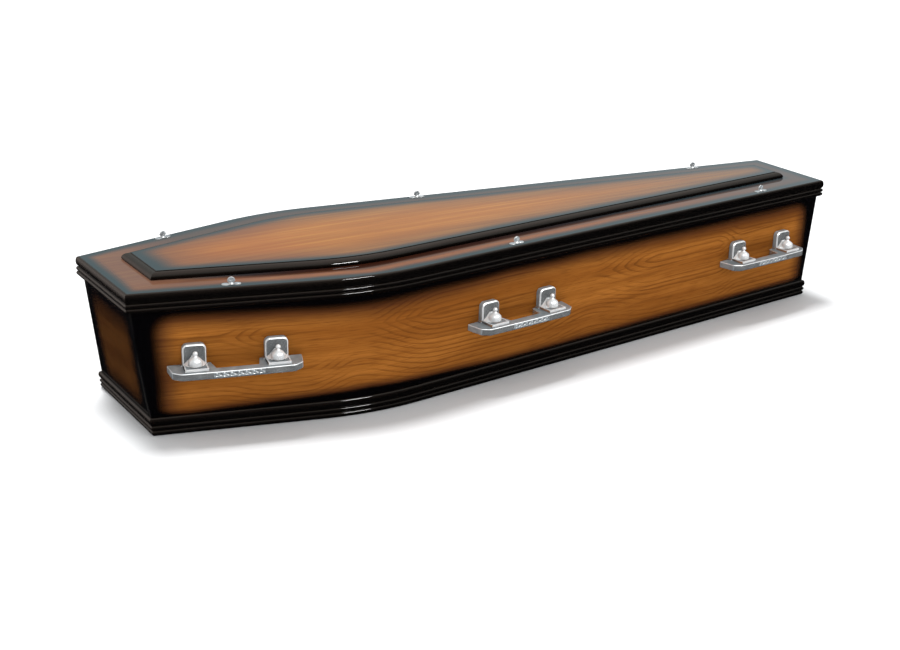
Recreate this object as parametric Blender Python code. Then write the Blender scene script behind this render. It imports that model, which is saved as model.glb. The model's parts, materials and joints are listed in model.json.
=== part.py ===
"""A moulded wooden coffin with its lid on: bent side boards, raked ends, three-bead mouldings round
the lid and the base, a raised panel on the lid, six cast handles and six thumb screws.

Metres, +Z up. +X runs from the head end to the foot end. The origin is under the middle of the
base. Every outline follows one line, the rim: the edge of the lid's flat top, seen from above.
"""

import math

import bmesh
import bpy
from mathutils import Matrix, Vector

# The rim line, half of it, from the middle of the object
LENGTH = 1.98
HEAD_HALF_WIDTH = 0.144
SHOULDER_HALF_WIDTH = 0.277
FOOT_HALF_WIDTH = 0.1255
SHOULDER_FROM_HEAD = 0.507
SHOULDER_RADIUS = 0.64
ARC_STEPS = 6

# Boards
LID_TOP = 0.320
LID_BOARD = 0.018
SIDE_BOARD = 0.018
END_BOARD = 0.018
BASE_BOARD = 0.018
BODY_INSET = 0.0045
HEAD_RAKE = 0.0405
FOOT_RAKE = 0.0310

# Three-bead moulding, used round the lid and round the base: height and depth of each bead
BEADS = ((0.011, 0.0043, 4), (0.011, 0.0043, 4), (0.018, 0.0055, 5))
BEAD_QUIRK = 0.0015

# Raised panel on the lid
PANEL_INSET = 0.076
PANEL_HEIGHT = 0.0155
PANEL_TRIM = 0.018
PANEL_TRIM_RIM = 0.0012
PANEL_TRIM_SHELF = 0.0100
PANEL_TRIM_STEP = 0.0010
PANEL_TRIM_FOOT = 0.0022
PANEL_TRIM_COVE = 0.0070
CURVE_STEPS = 4

# Handles: the bar reaches out from the side, its top is level with the lugs' feet
STATIONS_FROM_HEAD = (0.213, 0.909, 1.747)
HANDLE_TOP = 0.155
BAR_LENGTH = 0.286
BAR_THICKNESS = 0.017
BAR_REACH = 0.058
BAR_DEPTH = 0.022
BAR_BOW = 0.0020
BAR_END_REACH = 0.042
BAR_END_LEAN = 0.005
BAR_CORNER = 0.018
BAR_ARM_SLANT = 0.007
BAR_TOP_EDGE = 0.0012
BAR_ROUND = 0.0050
BAR_ROUND_STEPS = 2
KNURL_LENGTH = 0.108
KNURL_DEPTH = 0.0015
KNURL_STEPS = 16

# Lugs, two to a bar
LUG_FROM_END = 0.056
LUG_WIDTH = 0.050
LUG_HEIGHT = 0.0475
LUG_THICKNESS = 0.014
LUG_BEVEL = 0.0030
LUG_CORNER = 0.009
CORNER_STEPS = 3
LUG_FLARE = 0.0035
LUG_FLARE_EDGE = 0.0015
LUG_FLARE_HEIGHT = 0.0090
LUG_FOOT_HEIGHT = 0.006
LUG_FOOT_EDGE = 0.001
LUG_FOOT_MARGIN = 0.006
LUG_ARM_MARGIN = 0.010
BELL_FOOT_RADIUS = 0.0125
BELL_RADIUS = 0.0142
BELL_WIDEST_AT = 0.0040
BELL_HEIGHT = 0.0225
BELL_BACK = 0.0010
BELL_NECK_RADIUS = 0.0035
BELL_FULLNESS = 1.4
BELL_STEPS = 5
BALL_RADIUS = 0.0055
BALL_CROWN = 70
ROUND_STEPS = 10

# Thumb screws on the lid
SCREW_PLATE_LENGTH = 0.044
SCREW_PLATE_WIDTH = 0.013
SCREW_PLATE_THICKNESS = 0.0025
LEAF_LENGTH = 0.019
LEAF_TURN = 140
LEAF_STEPS = 5
SCREW_HUB_RADIUS = 0.0062
SCREW_HUB_TOP_RADIUS = 0.0043
SCREW_HUB_HEIGHT = 0.0052
FAN_RADIUS = 0.0105
FAN_DROP = 10
FAN_HEIGHT = 0.0195
FAN_THICKNESS = 0.0038
FAN_RIB = 0.0007
FAN_STEPS = 8

# Fits
GAP = 0.0003
MITRE_GAP = 0.0004
SINK = 0.001

BODY_TOP = LID_TOP - LID_BOARD
LUG_SPACING = BAR_LENGTH - 2 * LUG_FROM_END
BEAD_HEIGHT = sum(height for height, _, _ in BEADS)
PANEL_TOP = LID_TOP + PANEL_HEIGHT
LID_BACK_INSET = BEAD_QUIRK
HEAD_X = -LENGTH / 2
FOOT_X = LENGTH / 2
SHOULDER_X = HEAD_X + SHOULDER_FROM_HEAD


def clear_scene():
    for item in list(bpy.data.objects):
        bpy.data.objects.remove(item, do_unlink=True)


def finish(name, color, metallic, roughness):
    material = bpy.data.materials.new(name)
    material.use_nodes = True
    shader = material.node_tree.nodes["Principled BSDF"]
    shader.inputs["Base Color"].default_value = (*color, 1.0)
    shader.inputs["Metallic"].default_value = metallic
    shader.inputs["Roughness"].default_value = roughness
    material.diffuse_color = (*color, 1.0)
    return material


def make_object(name, points, faces, material):
    """A mesh object from points and faces, with its faces turned outwards."""
    mesh = bpy.data.meshes.new(name)
    shape = bmesh.new()
    corners = [shape.verts.new(point) for point in points]
    for face in faces:
        shape.faces.new([corners[index] for index in face])
    bmesh.ops.recalc_face_normals(shape, faces=shape.faces)
    shape.to_mesh(mesh)
    shape.free()
    mesh.materials.append(material)
    made = bpy.data.objects.new(name, mesh)
    bpy.context.collection.objects.link(made)
    return made


def loft(rings):
    """Points and faces of a closed solid through rings of equal length, capped at both ends."""
    count = len(rings[0])
    points = [point for ring in rings for point in ring]
    faces = []
    for row in range(len(rings) - 1):
        for index in range(count):
            after = (index + 1) % count
            low = row * count
            faces.append((low + index, low + after, low + count + after, low + count + index))
    faces.append(tuple(range(count)))
    faces.append(tuple(range(len(points) - count, len(points))))
    return points, faces


def arc(centre, radii, start, end, steps):
    """Points of an elliptical arc, both ends included, angles in degrees."""
    angles = [math.radians(start + (end - start) * step / steps) for step in range(steps + 1)]
    return [
        (centre[0] + radii[0] * math.cos(angle), centre[1] + radii[1] * math.sin(angle))
        for angle in angles
    ]


# The rim line and what is offset from it


def side_lines():
    """For the +Y side: the head part's and the foot part's start point and direction."""
    head = Vector((HEAD_X, HEAD_HALF_WIDTH))
    shoulder = Vector((SHOULDER_X, SHOULDER_HALF_WIDTH))
    foot = Vector((FOOT_X, FOOT_HALF_WIDTH))
    return (head, (shoulder - head).normalized()), (foot, (foot - shoulder).normalized())


def normal_of(direction):
    return Vector((-direction.y, direction.x))


def bend_centre():
    """The centre of the shoulder bend, which every offset line shares."""
    (head, along_head), (foot, along_foot) = side_lines()
    a = head - normal_of(along_head) * SHOULDER_RADIUS
    b = foot - normal_of(along_foot) * SHOULDER_RADIUS
    cross = along_head.x * along_foot.y - along_head.y * along_foot.x
    reach = ((b.x - a.x) * along_foot.y - (b.y - a.y) * along_foot.x) / cross
    return a + along_head * reach


def half_width(x, inset, part):
    """Y of the +Y side line at x, moved in by inset. part is 0 for the head part, 1 for the foot part."""
    start, along = side_lines()[part]
    moved = start - normal_of(along) * inset
    return moved.y + (x - moved.x) * along.y / along.x


def side_points(inset, head_x, foot_x):
    """The +Y side from head to foot at this inset, with the shoulder bend as an arc."""
    (_, along_head), (_, along_foot) = side_lines()
    centre = bend_centre()
    radius = SHOULDER_RADIUS - inset
    start = normal_of(along_head)
    end = normal_of(along_foot)
    first = math.atan2(start.y, start.x)
    last = math.atan2(end.y, end.x)
    points = [Vector((head_x, half_width(head_x, inset, 0)))]
    for step in range(ARC_STEPS + 1):
        angle = first + (last - first) * step / ARC_STEPS
        points.append(centre + radius * Vector((math.cos(angle), math.sin(angle))))
    points.append(Vector((foot_x, half_width(foot_x, inset, 1))))
    return points


def mirrored(points):
    return [Vector((point.x, -point.y)) for point in points]


def full_outline(inset, head_x, foot_x):
    side = side_points(inset, head_x, foot_x)
    return side + mirrored(side)[::-1]


def head_face(z):
    """X of the raked head end's outer face at height z."""
    return HEAD_X + BODY_INSET + HEAD_RAKE * (BODY_TOP - z) / BODY_TOP


def foot_face(z):
    return FOOT_X - BODY_INSET - FOOT_RAKE * (BODY_TOP - z) / BODY_TOP


# Boards


def side_board(name, side, wood):
    rings = []
    for z in (0.0, BODY_TOP - GAP):
        outer = side_points(BODY_INSET, head_face(z), foot_face(z))
        inner = side_points(BODY_INSET + SIDE_BOARD, head_face(z), foot_face(z))
        rings.append([(point.x, side * point.y, z) for point in outer + inner[::-1]])
    points, faces = loft(rings)
    count = len(rings[0])
    faces = faces[:-2]
    for low in (0, count):
        for index in range(count // 2 - 1):
            faces.append((low + index, low + index + 1, low + count - 2 - index, low + count - 1 - index))
    return make_object(name, points, faces, wood)


def end_board(name, face, inward, part, wood):
    """A raked board between the side boards. inward is +1 at the head and -1 at the foot."""
    inset = BODY_INSET + SIDE_BOARD + GAP
    rings = []
    for z in (0.0, BODY_TOP - GAP):
        outer = face(z)
        inner = outer + inward * END_BOARD
        corners = [(x, half_width(x, inset, part)) for x in (outer, inner)]
        rings.append(
            [
                (corners[0][0], corners[0][1], z),
                (corners[1][0], corners[1][1], z),
                (corners[1][0], -corners[1][1], z),
                (corners[0][0], -corners[0][1], z),
            ]
        )
    return make_object(name, *loft(rings), wood)


def base_board(wood):
    rings = []
    for z in (0.0, BASE_BOARD):
        head_x = head_face(z) + END_BOARD + GAP
        foot_x = foot_face(z) - END_BOARD - GAP
        outline = full_outline(BODY_INSET + SIDE_BOARD + GAP, head_x, foot_x)
        rings.append([(point.x, point.y, z) for point in outline])
    return make_object("base_board", *loft(rings), wood)


def flat_board(name, inset, bottom, top, wood):
    outline = full_outline(inset, HEAD_X + inset, FOOT_X - inset)
    rings = [[(point.x, point.y, z) for point in outline] for z in (bottom, top)]
    return make_object(name, *loft(rings), wood)


# Mouldings


def bead_profile():
    """The three-bead moulding as (out, up) points, from the foot of its back round to its top."""
    profile = [(0.0, 0.0)]
    up = 0.0
    for height, depth, steps in BEADS:
        half = height / 2
        curve = arc((BEAD_QUIRK, up + half), (depth, half), -90, 90, steps)
        profile += curve if up == 0.0 else curve[1:]
        up += height
    return profile + [(0.0, up)]


def panel_profile():
    """The panel's moulding: a rim, a cove, a small step and an ovolo, over an upright foot."""
    shelf_out = PANEL_TRIM_RIM + PANEL_TRIM_COVE
    cove = arc(
        (shelf_out, PANEL_HEIGHT),
        (PANEL_TRIM_COVE, PANEL_HEIGHT - PANEL_TRIM_SHELF),
        270,
        180,
        CURVE_STEPS - 1,
    )
    ovolo_top = PANEL_TRIM_SHELF - PANEL_TRIM_STEP
    ovolo = arc(
        (shelf_out, PANEL_TRIM_FOOT),
        (PANEL_TRIM - shelf_out, ovolo_top - PANEL_TRIM_FOOT),
        0,
        90,
        CURVE_STEPS,
    )
    return [(0.0, 0.0), (PANEL_TRIM, 0.0), *ovolo, *cove, (0.0, PANEL_HEIGHT)]


def moulding_set(prefix, profile, back_inset, bottom, head_line, foot_line, trim):
    """Four mitred lengths round the outline. head_line and foot_line give the back's X at a height."""

    def place(out, up):
        z = bottom + up
        return side_points(back_inset - out, head_line(z) - out, foot_line(z) + out), z

    rows = [place(out, up) for out, up in profile]
    for name, side in (("left", 1), ("right", -1)):
        stations = range(len(rows[0][0]))
        rings = [
            [(side_row[station].x, side * side_row[station].y, z) for side_row, z in rows]
            for station in stations
        ]
        make_object(f"{prefix}_{name}", *loft(rings), trim)
    for name, station in (("head", 0), ("foot", -1)):
        rings = [
            [(side_row[station].x, side * (side_row[station].y - MITRE_GAP), z) for side_row, z in rows]
            for side in (1, -1)
        ]
        make_object(f"{prefix}_{name}", *loft(rings), trim)


def base_head_line(z):
    return head_face(z) - GAP


def base_foot_line(z):
    return foot_face(z) + GAP


def lid_head_line(_):
    return HEAD_X + LID_BACK_INSET


def lid_foot_line(_):
    return FOOT_X - LID_BACK_INSET


def panel_head_line(_):
    return HEAD_X + PANEL_INSET + PANEL_TRIM


def panel_foot_line(_):
    return FOOT_X - PANEL_INSET - PANEL_TRIM


# Handles and thumb screws, modelled in their own frame: X along the side, Y outwards, Z up


def bar_stations():
    """(along, inner reach, outer reach) for half of the bar, from its end to its middle."""
    corner = BAR_LENGTH / 2 - BAR_END_LEAN
    front_end = corner - BAR_CORNER
    arm_inner = LUG_SPACING / 2 - LUG_WIDTH / 2 - LUG_ARM_MARGIN
    grip_end = arm_inner - BAR_ARM_SLANT

    def inner(along):
        share = (arm_inner - along) / BAR_ARM_SLANT
        return GAP + (BAR_REACH - BAR_DEPTH - GAP) * min(max(share, 0.0), 1.0)

    def outer(along):
        return BAR_REACH - BAR_BOW * (along / front_end) ** 2

    steps = [KNURL_LENGTH * (0.5 - step / KNURL_STEPS) for step in range(KNURL_STEPS // 2 + 1)]
    places = sorted({front_end, arm_inner, grip_end, *steps}, reverse=True)
    ends = [(BAR_LENGTH / 2, GAP, GAP + BAR_ROUND), (corner, GAP, BAR_END_REACH)]
    return ends + [(along, inner(along), outer(along)) for along in places]


def knurl_lift(along, row):
    """How far the knurl stands proud at this place along the bar, in this row of the front face."""
    if abs(along) > KNURL_LENGTH / 2 - SINK:
        return 0.0
    pitch = KNURL_LENGTH / KNURL_STEPS
    return KNURL_DEPTH * abs((along / pitch + row) % 2 - 1)


def bar_section(along, inner, outer, raised):
    """One section of the bar. raised lists how far the front face's rows stand proud."""
    top = HANDLE_TOP
    bottom = HANDLE_TOP - BAR_THICKNESS
    edge = min(BAR_TOP_EDGE, (outer - inner) / 4)
    round_out = min(BAR_ROUND, (outer - inner) / 2)
    low_row = bottom + BAR_ROUND
    high_row = top - edge
    middle_row = (low_row + high_row) / 2
    under = arc((outer - round_out, low_row), (round_out, BAR_ROUND), 0, -90, BAR_ROUND_STEPS)
    section = [(inner, top), (outer - edge, top)]
    for up, lift in zip((high_row, middle_row), raised):
        section.append((outer + lift, up))
    section += [(under[0][0] + raised[2], under[0][1]), *under[1:], (inner, bottom)]
    return [(along, out, up) for out, up in section]


def bar_mesh(metal):
    half = bar_stations()
    stations = half + [(-along, inner, outer) for along, inner, outer in half[-2::-1]]
    rings = []
    for along, inner, outer in stations:
        raised = [knurl_lift(along, row) for row in range(3)]
        rings.append(bar_section(along, inner, outer, raised))
    return make_object("bar", *loft(rings), metal)


def turned(profile, centre, steps):
    """Points and faces of a solid turned about an upright axis through centre, from (radius, z) points."""
    rings = []
    for radius, z in profile:
        rings.append(
            [
                (
                    centre[0] + radius * math.cos(2 * math.pi * step / steps),
                    centre[1] + radius * math.sin(2 * math.pi * step / steps),
                    z,
                )
                for step in range(steps)
            ]
        )
    return loft(rings)


def union(base, others):
    """The other objects joined to base, which is kept."""
    for other in others:
        joint = base.modifiers.new("join", "BOOLEAN")
        joint.operation = "UNION"
        joint.object = other
    graph = bpy.context.evaluated_depsgraph_get()
    joined = bpy.data.meshes.new_from_object(base.evaluated_get(graph))
    base.modifiers.clear()
    base.data = joined
    for other in others:
        bpy.data.objects.remove(other, do_unlink=True)
    return base


def lug_plate_outline(inset):
    """The plate's outline as (along, up), with round upper corners and a flared foot."""
    half = LUG_WIDTH / 2 - inset
    top = HANDLE_TOP + LUG_HEIGHT - inset
    corner = LUG_CORNER - inset
    bottom = HANDLE_TOP + GAP
    flare_top = bottom + LUG_FLARE_EDGE + LUG_FLARE_HEIGHT
    flare = arc((half + LUG_FLARE, flare_top), (LUG_FLARE, LUG_FLARE_HEIGHT), 270, 180, CORNER_STEPS)
    shoulder = arc((half - corner, top - corner), (corner, corner), 0, 90, CORNER_STEPS)
    right = [(half + LUG_FLARE, bottom), *flare, *shoulder]
    return right + [(-along, up) for along, up in right[::-1]]


def bell_profile(low, foot_top):
    """The bell and its ball as (radius, z), from low, which is inside the foot, to the ball's crown."""
    rise = BELL_HEIGHT - BELL_WIDEST_AT
    profile = [(BELL_FOOT_RADIUS, low)]
    for step in range(BELL_STEPS + 1):
        share = step / BELL_STEPS
        swell = (1 + math.cos(math.pi * share**BELL_FULLNESS)) / 2
        radius = BELL_NECK_RADIUS + (BELL_RADIUS - BELL_NECK_RADIUS) * swell
        profile.append((radius, foot_top + BELL_WIDEST_AT + rise * share))
    neck_angle = math.degrees(math.acos(BELL_NECK_RADIUS / BALL_RADIUS))
    ball_middle = foot_top + BELL_HEIGHT + math.sqrt(BALL_RADIUS**2 - BELL_NECK_RADIUS**2)
    ball = arc((0.0, ball_middle), (BALL_RADIUS, BALL_RADIUS), -neck_angle, BALL_CROWN, CORNER_STEPS)
    return profile + ball[1:]


def lug_mesh(metal):
    """A rounded plate with a flared foot, and a bell with a ball on top that stands before it."""
    rings = []
    for inset, out in ((0.0, GAP), (0.0, LUG_THICKNESS - LUG_BEVEL), (LUG_BEVEL, LUG_THICKNESS)):
        rings.append([(along, out, up) for along, up in lug_plate_outline(inset)])
    plate = make_object("plate", *loft(rings), metal)
    bottom = HANDLE_TOP + GAP
    half = LUG_WIDTH / 2
    foot_front = BAR_REACH - BAR_BOW - LUG_FOOT_MARGIN
    foot_top = bottom + LUG_FOOT_HEIGHT
    foot_back = LUG_THICKNESS - LUG_BEVEL - SINK
    rings = []
    for inset, up in ((0.0, bottom), (0.0, foot_top - LUG_FOOT_EDGE), (LUG_FOOT_EDGE, foot_top)):
        rings.append(
            [
                (half - inset, foot_back, up),
                (half - inset, foot_front - inset, up),
                (inset - half, foot_front - inset, up),
                (inset - half, foot_back, up),
            ]
        )
    foot = make_object("foot", *loft(rings), metal)
    bell_out = LUG_THICKNESS - BELL_BACK + BELL_RADIUS
    profile = bell_profile(foot_top - SINK, foot_top)
    bell = make_object("bell", *turned(profile, (0.0, bell_out), ROUND_STEPS), metal)
    return union(plate, [foot, bell])


def leaf_outline():
    """The screw's base plate: two oval leaves that meet under the hub, as (along, out)."""
    middle = SCREW_PLATE_LENGTH / 2 - LEAF_LENGTH / 2
    radii = (LEAF_LENGTH / 2, SCREW_PLATE_WIDTH / 2)
    leaf = arc((middle, 0.0), radii, -LEAF_TURN, LEAF_TURN, LEAF_STEPS)
    return leaf + [(-along, -out) for along, out in leaf]


def screw_mesh(metal):
    """A leaf-shaped plate, a round hub and an upright fan to turn it by, ribbed from its foot."""
    low = LID_TOP + GAP
    outline = leaf_outline()
    plate_top = low + SCREW_PLATE_THICKNESS
    rings = [[(along, out, z) for along, out in outline] for z in (low, plate_top)]
    plate = make_object("plate", *loft(rings), metal)
    hub_profile = [
        (SCREW_HUB_RADIUS, low + SINK),
        (SCREW_HUB_RADIUS, plate_top),
        (SCREW_HUB_TOP_RADIUS, low + SCREW_HUB_HEIGHT),
    ]
    hub = make_object("hub", *turned(hub_profile, (0.0, 0.0), ROUND_STEPS), metal)
    fan_low = low + SCREW_HUB_HEIGHT - SINK
    fan_middle = low + FAN_HEIGHT - FAN_RADIUS
    stem = FAN_THICKNESS / 2
    rim = arc((0.0, fan_middle), (FAN_RADIUS, FAN_RADIUS), -FAN_DROP, 180 + FAN_DROP, FAN_STEPS)
    outline = [(stem, fan_low), *rim, (-stem, fan_low)]
    rings = []
    for side in (1, -1):
        depths = [stem - FAN_RIB * (index % 2) for index in range(len(outline))]
        rings.append([(along, side * depth, up) for (along, up), depth in zip(outline, depths)])
    fan = make_object("fan", *loft(rings), metal)
    return union(plate, [hub, fan])


def side_frame(station, side, inset):
    """The frame of a fitting on a side: X along the side, Y outwards, at this station and inset."""
    x = HEAD_X + station
    part = 0 if x < SHOULDER_X else 1
    along = side_lines()[part][1]
    out = normal_of(along)
    place = Matrix.Identity(4)
    place.col[0] = (side * along.x, along.y, 0.0, 0.0)
    place.col[1] = (out.x, side * out.y, 0.0, 0.0)
    place.col[3] = (x, side * half_width(x, inset, part), 0.0, 1.0)
    return place


def copy_to(source, name, place):
    """A copy of the source with its own mesh, set in place."""
    made = bpy.data.objects.new(name, source.data.copy())
    made.matrix_world = place
    bpy.context.collection.objects.link(made)
    return made


def fit_handles(metal):
    bar = bar_mesh(metal)
    lug = lug_mesh(metal)
    for side_name, side in (("left", 1), ("right", -1)):
        for number, station in enumerate(STATIONS_FROM_HEAD, 1):
            place = side_frame(station, side, BODY_INSET)
            copy_to(bar, f"handle_{side_name}_{number}_bar", place)
            for lug_name, shift in (("head", -1), ("foot", 1)):
                offset = Matrix.Translation((side * shift * LUG_SPACING / 2, 0.0, 0.0))
                copy_to(lug, f"handle_{side_name}_{number}_lug_{lug_name}", place @ offset)
    for source in (bar, lug):
        bpy.data.objects.remove(source, do_unlink=True)


def fit_thumb_screws(metal):
    screw = screw_mesh(metal)
    inset = BODY_INSET + SIDE_BOARD / 2
    for side_name, side in (("left", 1), ("right", -1)):
        for number, station in enumerate(STATIONS_FROM_HEAD, 1):
            copy_to(screw, f"thumb_screw_{side_name}_{number}", side_frame(station, side, inset))
    bpy.data.objects.remove(screw, do_unlink=True)


def build():
    clear_scene()
    wood = finish("oak_stained_wood", (0.27, 0.10, 0.022), 0.0, 0.25)
    trim = finish("dark_stained_moulding", (0.012, 0.008, 0.007), 0.0, 0.2)
    metal = finish("chromed_metal", (0.72, 0.74, 0.76), 1.0, 0.12)

    base_board(wood)
    side_board("side_left", 1, wood)
    side_board("side_right", -1, wood)
    end_board("head_end", head_face, 1, 0, wood)
    end_board("foot_end", foot_face, -1, 1, wood)
    moulding_set(
        "base_moulding", bead_profile(), BODY_INSET - GAP, 0.0, base_head_line, base_foot_line, trim
    )

    flat_board("lid_board", LID_BACK_INSET + GAP, BODY_TOP, LID_TOP, wood)
    moulding_set(
        "lid_moulding",
        bead_profile(),
        LID_BACK_INSET,
        LID_TOP - BEAD_HEIGHT,
        lid_head_line,
        lid_foot_line,
        trim,
    )
    flat_board("raised_panel", PANEL_INSET + PANEL_TRIM + GAP, LID_TOP + GAP, PANEL_TOP, wood)
    moulding_set(
        "panel_moulding",
        [(out, max(up, GAP)) for out, up in panel_profile()],
        PANEL_INSET + PANEL_TRIM,
        LID_TOP,
        panel_head_line,
        panel_foot_line,
        trim,
    )
    fit_handles(metal)
    fit_thumb_screws(metal)


build()
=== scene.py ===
"""The finish of a moulded wooden coffin: smooth bent boards and mouldings, cast handles and thumb
screws, wood stained from orange to black at every edge under a clear coat, and a plain pale studio.

Metres, +Z up, +X from the head end to the foot end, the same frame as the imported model.
"""

import json
import math

import bpy
from mathutils import Matrix, Vector

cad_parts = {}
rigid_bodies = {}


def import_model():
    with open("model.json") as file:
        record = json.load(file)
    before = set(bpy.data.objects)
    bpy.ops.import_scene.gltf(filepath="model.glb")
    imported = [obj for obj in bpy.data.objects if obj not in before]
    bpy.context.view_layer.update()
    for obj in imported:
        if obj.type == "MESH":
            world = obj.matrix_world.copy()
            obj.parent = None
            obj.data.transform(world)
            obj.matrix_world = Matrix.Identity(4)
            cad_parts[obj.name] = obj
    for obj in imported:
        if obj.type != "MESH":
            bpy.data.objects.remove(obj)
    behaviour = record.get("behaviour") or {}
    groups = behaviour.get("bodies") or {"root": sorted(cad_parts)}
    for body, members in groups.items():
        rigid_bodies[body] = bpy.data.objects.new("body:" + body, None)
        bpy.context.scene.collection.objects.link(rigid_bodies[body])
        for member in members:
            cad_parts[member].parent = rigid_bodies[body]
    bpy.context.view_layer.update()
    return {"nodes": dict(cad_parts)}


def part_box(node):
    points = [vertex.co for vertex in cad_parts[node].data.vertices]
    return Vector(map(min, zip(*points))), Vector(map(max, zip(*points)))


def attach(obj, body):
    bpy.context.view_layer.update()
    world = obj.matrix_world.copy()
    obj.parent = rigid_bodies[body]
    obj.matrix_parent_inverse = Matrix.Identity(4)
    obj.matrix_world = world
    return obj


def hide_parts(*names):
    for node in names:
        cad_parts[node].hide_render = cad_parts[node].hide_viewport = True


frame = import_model()
nodes = frame["nodes"]

# Levels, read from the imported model
BODY_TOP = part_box("lid_board")[0].z
LID_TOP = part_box("lid_board")[1].z
PANEL_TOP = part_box("raised_panel")[1].z
BASE_BEADS_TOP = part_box("base_moulding_left")[1].z

# The rim line, half of it: the edge of the lid's flat top, seen from above
LENGTH = 1.98
HEAD_HALF_WIDTH = 0.144
SHOULDER_HALF_WIDTH = 0.277
FOOT_HALF_WIDTH = 0.1255
SHOULDER_FROM_HEAD = 0.507
SHOULDER_RADIUS = 0.64
BEND_STEPS = 48

# Boards
SIDE_BOARD = 0.018
BODY_INSET = 0.0045
HEAD_RAKE = 0.0405
FOOT_RAKE = 0.0310
ARRIS = 0.0008
GAP = 0.0003
MITRE_GAP = 0.0002
WELD = 0.00002
SAME_PLACE = 1e-6
SHARP_ANGLE = 30

# Three-bead mouldings: height and depth of each bead from its foot up
BASE_BEADS = ((0.011, 0.0050), (0.011, 0.0050), (0.018, 0.0052))
LID_BEADS = ((0.0105, 0.0050), (0.0105, 0.0050), (0.0220, 0.0052))
LID_BEADS_HEIGHT = sum(height for height, _ in LID_BEADS)
LID_BEADS_FOOT = LID_TOP - LID_BEADS_HEIGHT
BEAD_QUIRK = 0.0015
BEAD_STEPS = 14

# Raised panel's moulding
PANEL_INSET = 0.076
PANEL_TRIM = 0.018
PANEL_EDGE = PANEL_INSET + PANEL_TRIM
PANEL_TRIM_RIM = 0.0012
PANEL_TRIM_STEP = 0.0012
PANEL_TRIM_FOOT = 0.0022
PANEL_TRIM_TOE = 0.0010
CURVE_STEPS = 12

# Handles: the bar
STATIONS_FROM_HEAD = (0.213, 0.909, 1.747)
HANDLE_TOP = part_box("handle_left_1_bar")[1].z
BAR_LENGTH = 0.286
BAR_THICKNESS = 0.017
BAR_REACH = 0.058
BAR_DEPTH = 0.022
BAR_BOW = 0.0020
BAR_END_REACH = 0.042
BAR_END_LEAN = 0.005
BAR_CORNER = 0.018
BAR_ARM_SLANT = 0.007
BAR_TOP_EDGE = 0.0018
BAR_TOP_EDGE_STEPS = 3
BAR_ROUND = 0.0050
BAR_ROUND_STEPS = 5
BAR_EASING = 0.004
BAR_ROWS = 16
KNURL_LENGTH = 0.108
KNURL_DEPTH = 0.0018
KNURL_CREST = 0.32
KNURL_ROUNDNESS = 0.8
KNURL_FADE = 8
KNURL_CROSSINGS = 7
KNURL_STEPS = 154

# Handles: the lugs
LUG_FROM_END = 0.056
LUG_SPACING = BAR_LENGTH - 2 * LUG_FROM_END
LUG_WIDTH = 0.050
LUG_HEIGHT = 0.0475
LUG_THICKNESS = 0.014
LUG_BEVEL = 0.0028
LUG_BEVEL_BREAK = 0.4
LUG_CORNER = 0.0115
LUG_FLARE = 0.0035
LUG_FLARE_EDGE = 0.0015
LUG_FLARE_HEIGHT = 0.0090
LUG_FLARE_TUCK = 0.0010
SKIRT_RADIUS = 0.0238
SKIRT_NECK_RADIUS = 0.0060
SKIRT_HEIGHT = 0.0185
SKIRT_HOLLOW = 1.35
SKIRT_STEPS = 8
LUG_FOOT_HEIGHT = 0.006
LUG_FOOT_MARGIN = 0.006
LUG_FOOT_FRAME = 0.0032
LUG_FOOT_SUNK = 0.0014
LUG_FOOT_ARRIS = 0.0007
LUG_ARM_MARGIN = 0.010
BAR_ARM_INNER = LUG_SPACING / 2 - LUG_WIDTH / 2 - LUG_ARM_MARGIN
BAR_GRIP_BACK = BAR_REACH - BAR_DEPTH
BELL_FOOT_RADIUS = 0.0105
BELL_FOOT_STEPS = 4
BELL_RADIUS = 0.0150
BELL_WIDEST_AT = 0.0040
BELL_HEIGHT = 0.0225
BELL_BACK = 0.0010
BELL_NECK_RADIUS = 0.0032
BELL_FULLNESS = 2.1
BELL_STEPS = 16
BALL_RADIUS = 0.0054
BALL_CROWN = 86
BALL_STEPS = 12
ROUND_SIDES = 40

# Thumb screws
SCREW_PLATE_LENGTH = 0.041
SCREW_PLATE_WIDTH = 0.013
SCREW_PLATE_THICKNESS = 0.0025
SCREW_ARRIS = 0.0006
SCREW_ARRIS_STEPS = 3
LEAF_LENGTH = 0.018
LEAF_TURN = 140
LEAF_STEPS = 22
SCREW_HUB_RADIUS = 0.0062
SCREW_HUB_TOP_RADIUS = 0.0043
SCREW_HUB_HEIGHT = 0.0052
FAN_RADIUS = 0.0082
FAN_DROP = 10
FAN_HEIGHT = 0.0170
FAN_THICKNESS = 0.0030
FAN_STEPS = 32
RIB_WIDTH = 0.0013
RIB_PROUD = 0.0006
RIB_LEAN = 42
RIB_ARRIS = RIB_WIDTH * 0.3
RIB_CROSSING_DROP = FAN_RADIUS * 0.2
RIB_TAIL = FAN_RADIUS * 0.35
RIB_LENGTH = FAN_RADIUS * 1.35

# Camera: the photograph's place and lens, in the model's frame
CAMERA_PLACE = Vector((-1.9956, -2.9176, 1.3331))
CAMERA_AZIMUTH = -32.829
CAMERA_ELEVATION = 20.224
CAMERA_ROLL = 1.598
CAMERA_LENS = 60.096
CAMERA_SENSOR = 36.0

HEAD_X = -LENGTH / 2
FOOT_X = LENGTH / 2
SHOULDER_X = HEAD_X + SHOULDER_FROM_HEAD
SIDES = (("left", 1), ("right", -1))


# Plan: one rim line, and what is offset from it


def side_lines():
    """For the +Y side: the head part's and the foot part's start point and direction."""
    head = Vector((HEAD_X, HEAD_HALF_WIDTH, 0))
    shoulder = Vector((SHOULDER_X, SHOULDER_HALF_WIDTH, 0))
    foot = Vector((FOOT_X, FOOT_HALF_WIDTH, 0))
    return (head, (shoulder - head).normalized()), (foot, (foot - shoulder).normalized())


def normal_of(direction):
    return Vector((-direction.y, direction.x, 0))


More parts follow.
